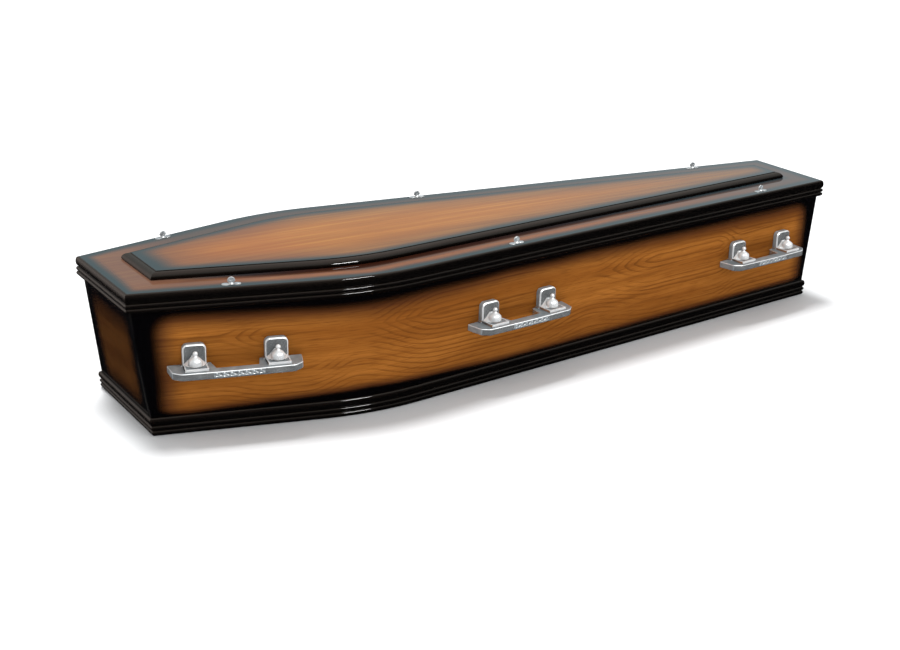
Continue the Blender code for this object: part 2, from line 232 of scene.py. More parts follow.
def bend_centre():
    """The centre of the shoulder bend, which every offset line shares."""
    (head, along_head), (foot, along_foot) = side_lines()
    a = head - normal_of(along_head) * SHOULDER_RADIUS
    b = foot - normal_of(along_foot) * SHOULDER_RADIUS
    cross = along_head.x * along_foot.y - along_head.y * along_foot.x
    reach = ((b.x - a.x) * along_foot.y - (b.y - a.y) * along_foot.x) / cross
    return a + along_head * reach


def half_width(x, inset, part):
    """Y of the +Y side line at x, moved in by inset. part is 0 for the head part, 1 for the foot part."""
    start, along = side_lines()[part]
    moved = start - normal_of(along) * inset
    return moved.y + (x - moved.x) * along.y / along.x


def bend_turn():
    """The angles at which the shoulder bend starts and ends, as seen from its centre."""
    (_, along_head), (_, along_foot) = side_lines()
    start = normal_of(along_head)
    end = normal_of(along_foot)
    return math.atan2(start.y, start.x), math.atan2(end.y, end.x)


def plan_outline(inset, head_x, foot_x):
    """The whole six-sided outline, moved in by inset, with its shoulders as arcs."""
    first, last = bend_turn()
    radius = SHOULDER_RADIUS - inset
    side = [Vector((head_x, half_width(head_x, inset, 0), 0))]
    for step in range(BEND_STEPS + 1):
        angle = first + (last - first) * step / BEND_STEPS
        side.append(bend_centre() + radius * Vector((math.cos(angle), math.sin(angle), 0)))
    side.append(Vector((foot_x, half_width(foot_x, inset, 1), 0)))
    return side + [Vector((point.x, -point.y, 0)) for point in side[::-1]]


def head_face(z):
    """X of the raked head end's outer face at height z."""
    return HEAD_X + BODY_INSET + HEAD_RAKE * (BODY_TOP - z) / BODY_TOP


def foot_face(z):
    return FOOT_X - BODY_INSET - FOOT_RAKE * (BODY_TOP - z) / BODY_TOP


def arc(centre, radii, start, end, steps):
    """Points of an elliptical arc, both ends included, angles in degrees."""
    angles = [math.radians(start + (end - start) * step / steps) for step in range(steps + 1)]
    return [
        (centre[0] + radii[0] * math.cos(angle), centre[1] + radii[1] * math.sin(angle))
        for angle in angles
    ]


# The workbench: what is done by hand to a piece


def start_face(name, corners):
    """A flat face with these corners, which a piece is pulled from."""
    bpy.ops.object.select_all(action="DESELECT")
    bpy.ops.mesh.primitive_circle_add(vertices=len(corners), fill_type="NGON")
    piece = bpy.context.object
    piece.name = name
    piece.data.name = name
    for vertex, corner in zip(piece.data.vertices, corners):
        vertex.co = corner
    return piece


def pick(piece):
    """Selects this piece alone and makes it the active one."""
    bpy.ops.object.select_all(action="DESELECT")
    piece.select_set(True)
    bpy.context.view_layer.objects.active = piece


def mark_all(piece, marked):
    """Marks every corner, edge and face of the piece as selected, or none."""
    for part in (piece.data.vertices, piece.data.edges, piece.data.polygons):
        part.foreach_set("select", [marked] * len(part))


def open_for_editing(piece):
    """Edit mode with everything selected."""
    pick(piece)
    mark_all(piece, True)
    bpy.context.tool_settings.mesh_select_mode = (False, False, True)
    bpy.ops.object.mode_set(mode="EDIT")


def pull(offset):
    bpy.ops.mesh.extrude_region_move(TRANSFORM_OT_translate={"value": offset})


def saw(a, b, c, keep):
    """Cuts the open piece along the plane through a, b and c, and keeps the side where keep is."""
    across = (b - a).cross(c - a).normalized()
    if across.dot(keep - a) > 0:
        across = -across
    bpy.ops.mesh.select_all(action="SELECT")
    bpy.ops.mesh.bisect(plane_co=a, plane_no=across, use_fill=True, clear_outer=True, threshold=SAME_PLACE)


def close_editing():
    """Back to object mode, with every face turned outwards."""
    bpy.ops.mesh.select_all(action="SELECT")
    bpy.ops.mesh.normals_make_consistent(inside=False)
    bpy.ops.object.mode_set(mode="OBJECT")


def pulled(name, corners, offset):
    """A piece that is one flat face pulled by offset."""
    piece = start_face(name, corners)
    open_for_editing(piece)
    pull(offset)
    close_editing()
    return piece


def even_out(piece):
    """Makes the broad faces shade flat and lets only the rounded edges turn the light."""
    bpy.context.view_layer.objects.active = piece
    even = piece.modifiers.new("even", "WEIGHTED_NORMAL")
    even.keep_sharp = True
    bpy.ops.object.modifier_apply(modifier=even.name)


def bevel(piece, width, segments=2):
    """Rounds the piece's sharp edges."""
    bpy.context.view_layer.objects.active = piece
    rounding = piece.modifiers.new("round", "BEVEL")
    rounding.width = width
    rounding.segments = segments
    rounding.limit_method = "ANGLE"
    rounding.angle_limit = math.radians(SHARP_ANGLE)
    bpy.ops.object.modifier_apply(modifier=rounding.name)


def fuse(base, others):
    """The other pieces joined to base as one casting."""
    bpy.context.view_layer.objects.active = base
    for other in others:
        joint = base.modifiers.new("join", "BOOLEAN")
        joint.operation = "UNION"
        joint.object = other
        bpy.ops.object.modifier_apply(modifier=joint.name)
        bpy.data.objects.remove(other, do_unlink=True)
    open_for_editing(base)
    bpy.ops.mesh.remove_doubles(threshold=WELD)
    bpy.ops.mesh.dissolve_degenerate(threshold=WELD)
    close_editing()
    return base


def smooth(piece, angle=35):
    pick(piece)
    bpy.ops.object.shade_smooth_by_angle(angle=math.radians(angle))


def copy_at(piece, name, place):
    """A copy of the piece with its own mesh, moved to its place. A mirrored one is turned outwards."""
    twin = bpy.data.objects.new(name, piece.data.copy())
    twin.data.name = name
    twin.data.transform(place)
    if place.determinant() < 0:
        twin.data.flip_normals()
    bpy.context.collection.objects.link(twin)
    return twin


def fit(piece, material, slot, *replaced):
    """Gives the finished piece its material, hangs it on the root body and hides the parts it replaces."""
    if material.name not in piece.data.materials:
        piece.data.materials.append(material)
    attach(piece, "root")
    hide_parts(*replaced)


# Boards and mouldings


def cut_marks(cut, inset, part, side, slack):
    """Three points of the plane that a length is sawn off along."""
    marks = []
    for out, z in ((0.0, 0.0), (SIDE_BOARD, 0.0), (0.0, BODY_TOP)):
        x = cut(out, z)
        marks.append(Vector((x, side * (half_width(x, inset - out, part) - slack), z)))
    return marks


def bent_length(name, profile, inset, head_cut, foot_cut):
    """A +Y length: pulled to the bend, spun round it, pulled on to the foot and sawn at both ends.

    profile is (out, z) from the inset line. head_cut and foot_cut give x from (out, z).
    """
    (_, along_head), (_, along_foot) = side_lines()
    centre = bend_centre()
    first, last = bend_turn()
    radial = normal_of(along_head)
    corners = []
    for out, z in profile:
        point = centre + radial * (SHOULDER_RADIUS - inset + out) - along_head * LENGTH
        corners.append((point.x, point.y, z))
    piece = start_face(name, corners)
    open_for_editing(piece)
    pull(along_head * LENGTH)
    bpy.ops.mesh.spin(steps=BEND_STEPS, angle=first - last, center=centre, axis=(0, 0, 1))
    pull(along_foot * LENGTH)
    middle = Vector((SHOULDER_X, SHOULDER_HALF_WIDTH, 0))
    for cut, part in ((head_cut, 0), (foot_cut, 1)):
        saw(*cut_marks(cut, inset, part, 1, 0.0), keep=middle)
    close_editing()
    return piece


def end_length(name, profile, inset, cut, part):
    """A length across an end, pulled from one side to the other and sawn to its two mitres."""
    reach = SHOULDER_HALF_WIDTH
    piece = start_face(name, [(cut(out, z), -reach, z) for out, z in profile])
    open_for_editing(piece)
    pull((0, 2 * reach, 0))
    for side in (1, -1):
        marks = cut_marks(cut, inset, part, side, MITRE_GAP)
        saw(*marks, keep=Vector((marks[0].x, 0, 0)))
    close_editing()
    return piece


def bead_profile(beads, bottom):
    """The three-bead moulding as (out, z), from the foot of its back round to its top."""
    profile = [(0.0, bottom)]
    foot = bottom
    for height, depth in beads:
        half = height / 2
        curve = arc((BEAD_QUIRK, foot + half), (depth, half), -90, 90, BEAD_STEPS)
        profile += curve if foot == bottom else curve[1:]
        foot += height
    return profile + [(0.0, foot)]


def panel_profile():
    """The panel's moulding: a rim, a small step down, and a broad round over a drawn-in toe."""
    foot = LID_TOP + PANEL_TRIM_FOOT
    radii = (PANEL_TRIM - PANEL_TRIM_RIM, PANEL_TOP - PANEL_TRIM_STEP - foot)
    broad_round = arc((PANEL_TRIM_RIM, foot), radii, 0, 90, 2 * CURVE_STEPS)
    toe_out = PANEL_TRIM - PANEL_TRIM_TOE
    toe = [(toe_out, LID_TOP + GAP), (toe_out, LID_TOP + PANEL_TRIM_TOE)]
    return [(0.0, LID_TOP + GAP), *toe, *broad_round, (PANEL_TRIM_RIM, PANEL_TOP), (0.0, PANEL_TOP)]


def moulding_set(prefix, profile, inset, material, raked=False):
    """Four mitred lengths round the outline. Raked ones lie against the raked ends of the box."""

    def head_cut(out, z):
        return (head_face(z) - GAP if raked else HEAD_X + inset) - out

    def foot_cut(out, z):
        return (foot_face(z) + GAP if raked else FOOT_X - inset) + out

    left = bent_length(f"{prefix}_left_trim", profile, inset, head_cut, foot_cut)
    right = copy_at(left, f"{prefix}_right_trim", Matrix.Scale(-1, 4, (0, 1, 0)))
    head = end_length(f"{prefix}_head_trim", profile, inset, head_cut, 0)
    foot = end_length(f"{prefix}_foot_trim", profile, inset, foot_cut, 1)
    for piece, end in ((left, "left"), (right, "right"), (head, "head"), (foot, "foot")):
        smooth(piece)
        fit(piece, material, "dark_moulding", f"{prefix}_{end}")


def side_boards(material):
    profile = [(-SIDE_BOARD, 0.0), (0.0, 0.0), (0.0, BODY_TOP - GAP), (-SIDE_BOARD, BODY_TOP - GAP)]
    left = bent_length(
        "side_left_board", profile, BODY_INSET, lambda out, z: head_face(z), lambda out, z: foot_face(z)
    )
    bevel(left, ARRIS)
    smooth(left)
    right = copy_at(left, "side_right_board", Matrix.Scale(-1, 4, (0, 1, 0)))
    fit(left, material, "stained_wood", "side_left")
    fit(right, material, "stained_wood", "side_right")


def flat_board(name, inset, bottom, top, material, replaced):
    """A board cut to the outline."""
    outline = plan_outline(inset, HEAD_X + inset, FOOT_X - inset)
    board = pulled(name, [(point.x, point.y, bottom) for point in outline], (0, 0, top - bottom))
    smooth(board)
    fit(board, material, "stained_wood", replaced)


# Handles and thumb screws, made in their own frame: X along the side, Y outwards, Z up


def turned(name, profile, centre):
    """A turned piece: a round face pulled up ring by ring and drawn in or out, from (radius, z) points."""
    radius, z = profile[0]
    bpy.ops.object.select_all(action="DESELECT")
    bpy.ops.mesh.primitive_circle_add(
        vertices=ROUND_SIDES, radius=radius, fill_type="NGON", location=(*centre, z)
    )
    piece = bpy.context.object
    piece.name = name
    bpy.ops.object.transform_apply(location=True, rotation=False, scale=False)
    open_for_editing(piece)
    for next_radius, next_z in profile[1:]:
        pull((0, 0, next_z - z))
        share = next_radius / radius
        bpy.ops.transform.resize(value=(share, share, 1), center_override=(*centre, next_z))
        radius, z = next_radius, next_z
    close_editing()
    return piece


def bar_front(along):
    """How far the bar's bowed front reaches out."""
    front_end = BAR_LENGTH / 2 - BAR_END_LEAN - BAR_CORNER
    return BAR_REACH - BAR_BOW * (along / front_end) ** 2


def eased(before, corner, after, reach, steps):
    """Points that round a corner off, from reach before it to reach after it."""
    before, corner, after = Vector(before), Vector(corner), Vector(after)
    start = corner + (before - corner).normalized() * reach
    end = corner + (after - corner).normalized() * reach
    points = []
    for step in range(steps + 1):
        share = step / steps
        point = start * (1 - share) ** 2 + corner * (2 * share * (1 - share)) + end * share**2
        points.append(tuple(point))
    return points


def bar_outline():
    """The bar from above, as (along, out): tip, cut-off corner, bowed front, and the grip's notch."""
    half = BAR_LENGTH / 2
    corner = half - BAR_END_LEAN
    front_end = corner - BAR_CORNER
    grip_end = BAR_ARM_INNER - BAR_ARM_SLANT
    knurl_start = KNURL_LENGTH / 2
    tip = (half, GAP + BAR_ROUND)
    knee = (corner, BAR_END_REACH)
    turn = (front_end, bar_front(front_end))
    plain = (knurl_start, bar_front(knurl_start))
    half_front = [(half, GAP), tip]
    half_front += eased(tip, knee, turn, BAR_EASING, CURVE_STEPS)
    half_front += eased(knee, turn, plain, BAR_EASING, CURVE_STEPS)
    knurled = [knurl_start * (1 - 2 * step / KNURL_STEPS) for step in range(KNURL_STEPS + 1)]
    other_half = [(-along, out) for along, out in half_front[::-1]]
    notch = [(-BAR_ARM_INNER, GAP), (-grip_end, BAR_GRIP_BACK)]
    notch += [(-along, out) for along, out in notch[::-1]]
    return half_front + [(along, bar_front(along)) for along in knurled] + other_half + notch


def knurl_sink(along, share):
    """How deep the hollows between the crossing strands are, at a share of the front's height."""
    edge = KNURL_LENGTH / 2 - abs(along)
    if edge <= 0:
        return 0.0
    place = along / KNURL_LENGTH * KNURL_CROSSINGS
    strands = [math.cos(math.pi * (place + lean * (share - 0.5))) ** 2 for lean in (1, -1)]
    fade = min(1.0, edge / KNURL_DEPTH, KNURL_FADE * share, KNURL_FADE * (1 - share))
    return KNURL_DEPTH * fade * (1 - max(strands)) ** KNURL_ROUNDNESS


def make_bar():
    """A bar cut from above, rounded below, with the strands worked into the middle of its front."""
    bottom = HANDLE_TOP - BAR_THICKNESS
    outline = [(along, out, bottom) for along, out in bar_outline()]
    bar = pulled("bar", outline, (0, 0, BAR_THICKNESS))
    round_front_edge(bar, bottom, BAR_ROUND, BAR_ROUND_STEPS)
    round_front_edge(bar, HANDLE_TOP, BAR_TOP_EDGE, BAR_TOP_EDGE_STEPS)
    open_for_editing(bar)
    low = bottom + BAR_ROUND
    high = HANDLE_TOP - BAR_TOP_EDGE
    for row in range(1, BAR_ROWS):
        bpy.ops.mesh.select_all(action="SELECT")
        level = low + (high - low) * row / BAR_ROWS
        bpy.ops.mesh.bisect(plane_co=(0, 0, level), plane_no=(0, 0, 1), threshold=SAME_PLACE)
    close_editing()
    mid_depth = BAR_REACH - BAR_DEPTH / 2
    for vertex in bar.data.vertices:
        along, out, z = vertex.co
        share = (z - low) / (high - low)
        if out > mid_depth and 0 < share < 1:
            vertex.co.y -= knurl_sink(along, share)
    # Painted light: the rounded top edge gets the near-white copy as a painted highlight, and the top, the
    # tips and the strands' crests get the duller grey copy as painted shading
    for face in bar.data.polygons:
        on_edge = face.center.z > HANDLE_TOP - BAR_TOP_EDGE and face.normal.z < 0.9
        on_top = face.center.z > HANDLE_TOP - GAP
        on_tip = abs(face.normal.x) > 0.75 and abs(face.center.x) > KNURL_LENGTH / 2 + BAR_ARM_SLANT
        share = (face.center.z - low) / (high - low)
        at_knurl = face.center.y > mid_depth and abs(face.center.x) < KNURL_LENGTH / 2 and 0 < share < 1
        on_crest = at_knurl and knurl_sink(face.center.x, share) < KNURL_CREST * KNURL_DEPTH
        face.material_index = 2 if on_edge else int(on_top or on_tip or on_crest)
    smooth(bar, angle=50)
    even_out(bar)
    return bar


def round_front_edge(bar, level, width, segments):
    """Rounds the bar's outer edge at this level, all the way from tip to tip."""
    pick(bar)
    mark_all(bar, False)
    for edge in bar.data.edges:
        a, b = (bar.data.vertices[index].co for index in edge.vertices)
        level_edge = abs(a.z - level) < SAME_PLACE and abs(b.z - level) < SAME_PLACE
        middle = (a + b) / 2
        in_notch = middle.y < BAR_GRIP_BACK + GAP and abs(middle.x) < BAR_ARM_INNER + GAP
        at_back = in_notch or middle.y < 2 * GAP
        edge.select = level_edge and not at_back and (b - a).length < BAR_LENGTH / 4
    bpy.context.tool_settings.mesh_select_mode = (False, True, False)
    bpy.ops.object.mode_set(mode="EDIT")
    bpy.ops.mesh.bevel(offset=width, segments=segments, affect="EDGES")
    close_editing()


def mirrored(right):
    """A whole outline, facing outwards, from its right half, which goes up from the foot."""
    return [(-along, up) for along, up in right] + right[::-1]


def lug_outline():
    """The plate's outline as (along, up), with round upper corners."""
    half = LUG_WIDTH / 2
    top = HANDLE_TOP + LUG_HEIGHT
    shoulder = arc((half - LUG_CORNER, top - LUG_CORNER), (LUG_CORNER, LUG_CORNER), 0, 90, CURVE_STEPS)
    return mirrored([(half, HANDLE_TOP + GAP), *shoulder])


def flare_outline():
    """The plate's flared foot as (along, up)."""
    half = LUG_WIDTH / 2
    bottom = HANDLE_TOP + GAP
    middle = (half + LUG_FLARE, bottom + LUG_FLARE_EDGE + LUG_FLARE_HEIGHT)
    curve = arc(middle, (LUG_FLARE + LUG_FLARE_TUCK, LUG_FLARE_HEIGHT), 270, 180, CURVE_STEPS)
    return mirrored([(half + LUG_FLARE, bottom), *curve])


def make_skirt(low, foot_top):
    """The hollow-sided cone that spreads from the bell's neck to the plate, cut off inside the plate."""
    profile = [(SKIRT_RADIUS, low)]
    for step in range(SKIRT_STEPS + 1):
        share = step / SKIRT_STEPS
        radius = SKIRT_NECK_RADIUS + (SKIRT_RADIUS - SKIRT_NECK_RADIUS) * (1 - share) ** SKIRT_HOLLOW
        profile.append((radius, foot_top + SKIRT_HEIGHT * share))
    skirt = turned("skirt", profile, (0.0, LUG_THICKNESS))
    inside = LUG_THICKNESS / 2
    open_for_editing(skirt)
    saw(Vector((0, inside, 0)), Vector((1, inside, 0)), Vector((0, inside, 1)), keep=Vector((0, 1, 0)))
    close_editing()
    return skirt


def bell_profile(low, foot_top):
    """The bell and its ball as (radius, z), from low, which is inside the foot, to the ball's crown."""
    rise = BELL_HEIGHT - BELL_WIDEST_AT
    profile = [(BELL_FOOT_RADIUS, low), (BELL_FOOT_RADIUS, foot_top)]
    lip_middle = (BELL_FOOT_RADIUS, foot_top + BELL_WIDEST_AT / 2)
    lip_radii = (BELL_RADIUS - BELL_FOOT_RADIUS, BELL_WIDEST_AT / 2)
    profile += arc(lip_middle, lip_radii, -90, 0, BELL_FOOT_STEPS)[1:]
    for step in range(BELL_STEPS + 1):
        share = step / BELL_STEPS
        swell = (1 + math.cos(math.pi * share**BELL_FULLNESS)) / 2
        radius = BELL_NECK_RADIUS + (BELL_RADIUS - BELL_NECK_RADIUS) * swell
        profile.append((radius, foot_top + BELL_WIDEST_AT + rise * share))
    neck_angle = math.degrees(math.acos(BELL_NECK_RADIUS / BALL_RADIUS))
    ball_middle = foot_top + BELL_HEIGHT + math.sqrt(BALL_RADIUS**2 - BELL_NECK_RADIUS**2)
    ball = arc((0.0, ball_middle), (BALL_RADIUS, BALL_RADIUS), -neck_angle, BALL_CROWN, BALL_STEPS)
    return profile + ball[1:]


def make_lug():
    """A bevelled plate on a framed foot, with a skirt, a bell and a ball standing before it."""
    plate = start_face("plate", [(along, GAP, up) for along, up in lug_outline()])
    open_for_editing(plate)
    pull((0, LUG_THICKNESS - LUG_BEVEL - GAP, 0))
    for share in (LUG_BEVEL_BREAK, 1 - LUG_BEVEL_BREAK):
        bpy.ops.mesh.inset(thickness=LUG_BEVEL * share, depth=LUG_BEVEL * (1 - share))
    close_editing()

    outline = [(along, 2 * GAP, up) for along, up in flare_outline()]
    flare = pulled("flare", outline, (0, LUG_THICKNESS - LUG_BEVEL, 0))

    bottom = HANDLE_TOP + GAP
    foot_top = bottom + LUG_FOOT_HEIGHT
    half = LUG_WIDTH / 2 - GAP
    back = LUG_THICKNESS / 2
    front = BAR_REACH - BAR_BOW - LUG_FOOT_MARGIN
    corners = ((-half, back), (half, back), (half, front), (-half, front))
    foot = start_face("foot", [(along, out, bottom) for along, out in corners])
    open_for_editing(foot)
    pull((0, 0, LUG_FOOT_HEIGHT))
    bpy.ops.mesh.inset(thickness=LUG_FOOT_FRAME)
    pull((0, 0, -LUG_FOOT_SUNK))
    close_editing()
    bevel(foot, LUG_FOOT_ARRIS)

    bell_out = LUG_THICKNESS - BELL_BACK + BELL_RADIUS
    low = bottom + LUG_FOOT_HEIGHT / 4
    skirt = make_skirt(low, foot_top - LUG_FOOT_SUNK / 2)
    bell = turned("bell", bell_profile(low, foot_top - LUG_FOOT_SUNK / 2), (0.0, bell_out))
    lug = fuse(plate, [flare, foot, skirt, bell])
    # Painted light: the foot's sunk middle and the plate's rim get the duller grey copy, and the bevel, the
    # foot's frame, the skirt, the bell and the ball get the near-white copy as a painted highlight
    for face in lug.data.polygons:
        out, z = face.center.y, face.center.z
        before = out > LUG_THICKNESS + GAP
        on_sunk = before and abs(z - foot_top + LUG_FOOT_SUNK) < GAP and face.normal.z > 0.9
        on_rim = out < LUG_THICKNESS - LUG_BEVEL and z > foot_top
        on_bevel = LUG_THICKNESS - LUG_BEVEL < out < LUG_THICKNESS - GAP and face.normal.y > 0.1
        on_foot = out > front - LUG_FOOT_FRAME or z > foot_top - LUG_FOOT_SUNK / 2
        if on_sunk or on_rim:
            face.material_index = 1
        elif on_bevel or before and on_foot:
            face.material_index = 2
    smooth(lug, angle=25)
    even_out(lug)
    return lug


def leaf_outline():
    """The screw's base plate: two oval leaves that meet under the hub, as (along, out)."""
    middle = SCREW_PLATE_LENGTH / 2 - LEAF_LENGTH / 2
    radii = (LEAF_LENGTH / 2, SCREW_PLATE_WIDTH / 2)
    leaf = arc((middle, 0.0), radii, -LEAF_TURN, LEAF_TURN, LEAF_STEPS)
    return leaf + [(-along, -out) for along, out in leaf]


def make_screw():
    """A leaf-shaped plate, a round hub and an upright fan with two crossed ribs on each face."""
    low = LID_TOP + GAP
    plate_top = low + SCREW_PLATE_THICKNESS
    outline = [(along, out, low) for along, out in leaf_outline()]
    plate = pulled("leaves", outline, (0, 0, SCREW_PLATE_THICKNESS))
    bevel(plate, SCREW_ARRIS, SCREW_ARRIS_STEPS)

    hub_profile = [
        (SCREW_HUB_RADIUS, low + SCREW_PLATE_THICKNESS / 2),
        (SCREW_HUB_RADIUS, plate_top),
        (SCREW_HUB_TOP_RADIUS, low + SCREW_HUB_HEIGHT),
    ]
    hub = turned("hub", hub_profile, (0.0, 0.0))

    fan_low = low + SCREW_HUB_HEIGHT - SCREW_PLATE_THICKNESS / 2
    fan_middle = low + FAN_HEIGHT - FAN_RADIUS
    stem = FAN_THICKNESS / 2
    rim = arc((0.0, fan_middle), (FAN_RADIUS, FAN_RADIUS), -FAN_DROP, 180 + FAN_DROP, FAN_STEPS)
    outline = [(stem, fan_low), *rim, (-stem, fan_low)]
    face_back = [(along, -FAN_THICKNESS / 2, up) for along, up in outline]
    fan = pulled("fan", face_back, (0, FAN_THICKNESS, 0))
    bevel(fan, SCREW_ARRIS, SCREW_ARRIS_STEPS)

    crossing = Vector((0, 0, fan_middle - RIB_CROSSING_DROP))
    ribs = [make_rib(crossing, lean) for lean in (RIB_LEAN, -RIB_LEAN)]
    screw = fuse(plate, [hub, fan, *ribs])
    # Painted shading: the fan's flat faces and the leaves' tops get the duller grey copy
    for face in screw.data.polygons:
        flat_of_fan = abs(face.normal.y) > 0.99 and abs(face.center.y) < (FAN_THICKNESS + RIB_PROUD) / 2
        on_fan = flat_of_fan and face.center.z > fan_low
        on_leaf = face.normal.z > 0.99 and face.center.z < plate_top + GAP
        face.material_index = int(on_fan or on_leaf)
    smooth(screw, angle=45)
    even_out(screw)
    return screw


def make_rib(crossing, lean):
    """A slim bar through the fan, leaning from upright by this many degrees."""
    deep = FAN_THICKNESS / 2 + RIB_PROUD
    angle = math.radians(lean)
    along = Vector((math.sin(angle), 0, math.cos(angle)))
    side = Vector((math.cos(angle), 0, -math.sin(angle))) * (RIB_WIDTH / 2)
    out = Vector((0, deep, 0))
    tail = crossing - along * RIB_TAIL
    corners = [tail + side - out, tail - side - out, tail - side + out, tail + side + out]
    rib = pulled("rib", corners, along * RIB_LENGTH)
    bevel(rib, RIB_ARRIS)
    return rib


def side_frame(station, side, inset):
    """The frame of a fitting on a side: X along the side, Y outwards, at this station and inset."""
    x = HEAD_X + station
    part = 0 if x < SHOULDER_X else 1
    along = side_lines()[part][1]
    out = normal_of(along)
    place = Matrix.Identity(4)
    place.col[0] = (side * along.x, along.y, 0.0, 0.0)
    place.col[1] = (out.x, side * out.y, 0.0, 0.0)
    place.col[3] = (x, side * half_width(x, inset, part), 0.0, 1.0)
    return place


def stations(inset):
    """The six places of a fitting: its side, its name and its frame."""
    for side_name, side in SIDES:
        for number, station in enumerate(STATIONS_FROM_HEAD, 1):
            yield side, f"{side_name}_{number}", side_frame(station, side, inset)


def fit_handles(metal, painted_grey, painted_highlight):
    bar = make_bar()
    lug = make_lug()
    for source in (bar, lug):
        for finish in (metal, painted_grey, painted_highlight):
            source.data.materials.append(finish)
    for side, where, place in stations(BODY_INSET):
        grip = copy_at(bar, f"handle_{where}_cast_bar", place)
        fit(grip, metal, "chromed_metal", f"handle_{where}_bar")
        for end, shift in (("head", -1), ("foot", 1)):
            offset = Matrix.Translation((side * shift * LUG_SPACING / 2, 0.0, 0.0))
            holder = copy_at(lug, f"handle_{where}_cast_lug_{end}", place @ offset)
            fit(holder, metal, "chromed_metal", f"handle_{where}_lug_{end}")
    for source in (bar, lug):
        bpy.data.objects.remove(source, do_unlink=True)


def fit_thumb_screws(metal, painted_grey):
    screw = make_screw()
    for finish in (metal, painted_grey):
        screw.data.materials.append(finish)
    for _, where, place in stations(BODY_INSET + SIDE_BOARD / 2):
        piece = copy_at(screw, f"lid_screw_{where}", place)
        fit(piece, metal, "chromed_metal", f"thumb_screw_{where}")
    bpy.data.objects.remove(screw, do_unlink=True)


# Materials: a number on the mixing board, on which Python's operators add Math nodes


class Value:
    """A socket that Python's operators work on."""

    def __init__(self, board, socket):
        self.board = board
        self.socket = socket

    def maths(self, operation, *values):
        inputs = dict(enumerate(values))
        return self.board.add("Math", {"operation": operation}, inputs)

    def __add__(self, other):
        return self.maths("ADD", self, other)

    __radd__ = __add__

    def __mul__(self, other):
        return self.maths("MULTIPLY", self, other)

    __rmul__ = __mul__

    def __sub__(self, other):
        return self.maths("SUBTRACT", self, other)

    def __rsub__(self, other):
        return self.maths("SUBTRACT", other, self)

    def __truediv__(self, other):
        return self.maths("DIVIDE", self, other)

    def __rtruediv__(self, other):
        return self.maths("DIVIDE", other, self)

    def __pow__(self, power):
        return self.maths("POWER", self, power)

    def __rpow__(self, base):
        return self.maths("POWER", base, self)

    def __abs__(self):
        return self.maths("ABSOLUTE", self)

    def least(self, other):
        return self.maths("MINIMUM", self, other)

    def soft_least(self, other, reach):
        """The smaller of the two, with the change from one to the other rounded off."""
        return self.maths("SMOOTH_MIN", self, other, reach)

    def most(self, other):
        return self.maths("MAXIMUM", self, other)

    def part(self):
        """What is left after the whole number."""
        return self.maths("FRACT", self)

    def rise(self, start, end):
        """0 up to start, 1 from end on, and smooth between."""
        settings = {"interpolation_type": "SMOOTHSTEP"}
        inputs = {"Value": self, "From Min": start, "From Max": end}
        return self.board.add("MapRange", settings, inputs)


class Board:
    """A mixing board: the nodes of one material, or of the sky."""

    def __init__(self, tree):
        self.tree = tree

    def add(self, kind, settings, inputs, output=0):
        """A node of this kind: its settings first, then the values or links of its sockets."""
        node = self.tree.nodes.new(f"ShaderNode{kind}")
        for key, setting in settings.items():
            setattr(node, key, setting)
        for key, value in inputs.items():
            self.plug(node.inputs[key], value)
        return Value(self, node.outputs[output])

    def plug(self, socket, value):
        if isinstance(value, Value):
            self.tree.links.new(value.socket, socket)
        else:
            socket.default_value = value

    def place(self, output="Object"):
        """X, Y and Z of the shaded point."""
        point = self.add("TexCoord", {}, {}, output)
        return [self.add("SeparateXYZ", {}, {0: point}, axis) for axis in range(3)]

    def noise(self, x, y, z, detail, roughness=0.5):
        point = self.add("CombineXYZ", {}, {0: x, 1: y, 2: z})
        inputs = {"Vector": point, "Scale": 1.0, "Detail": detail, "Roughness": roughness}
        return self.add("TexNoise", {}, inputs, "Fac")

    def ramp(self, value, stops):
        """A number that eases from stop to stop, each (place, number)."""
        ramp = self.tree.nodes.new("ShaderNodeValToRGB")
        ramp.color_ramp.interpolation = "EASE"
        for place, number in stops[1:-1]:
            ramp.color_ramp.elements.new(place)
        for element, (place, number) in zip(ramp.color_ramp.elements, stops):
            element.position = place
            element.color = (number, number, number, 1)
        self.plug(ramp.inputs[0], value)
        return Value(self, ramp.outputs[0])

    def blend(self, share, first, second):
        return self.add("Mix", {"data_type": "RGBA"}, {0: share, 6: first, 7: second}, 2)


class Finish(Board):
    """A material: its constant values go straight to the shader, and the rest is mixed on the board."""

    def __init__(self, name, **plain):
        self.material = bpy.data.materials.new(name)
        self.material.use_nodes = True
        super().__init__(self.material.node_tree)
        self.shader = self.tree.nodes["Principled BSDF"]
        for socket, value in plain.items():
            self.shader.inputs[socket.replace("_", " ")].default_value = value

    def feed(self, name, value):
        self.plug(self.shader.inputs[name], value)

    def paint(self, colour, height, relief):
        """Gives the surface its colour and its fine relief, and hands the material over."""
        self.feed("Base Color", colour)
        self.feed("Normal", self.add("Bump", {}, {"Height": height, "Distance": relief}))
        return self.material


LIGHT_WOOD = (0.520, 0.191, 0.034, 1)
WOOD = (0.390, 0.135, 0.022, 1)
DEEP_WOOD = (0.245, 0.076, 0.012, 1)
RING_WOOD = (0.092, 0.027, 0.006, 1)
BLACK_STAIN = (0.0010, 0.0008, 0.0012, 1)
RED_STAIN = (0.026, 0.0095, 0.0080, 1)
# Black stain tinted teal: the tint is a painted reflection of the pale sky in the lid's clear coat
LID_BLACK_STAIN_AND_PAINTED_SKY = (0.026, 0.046, 0.055, 1)
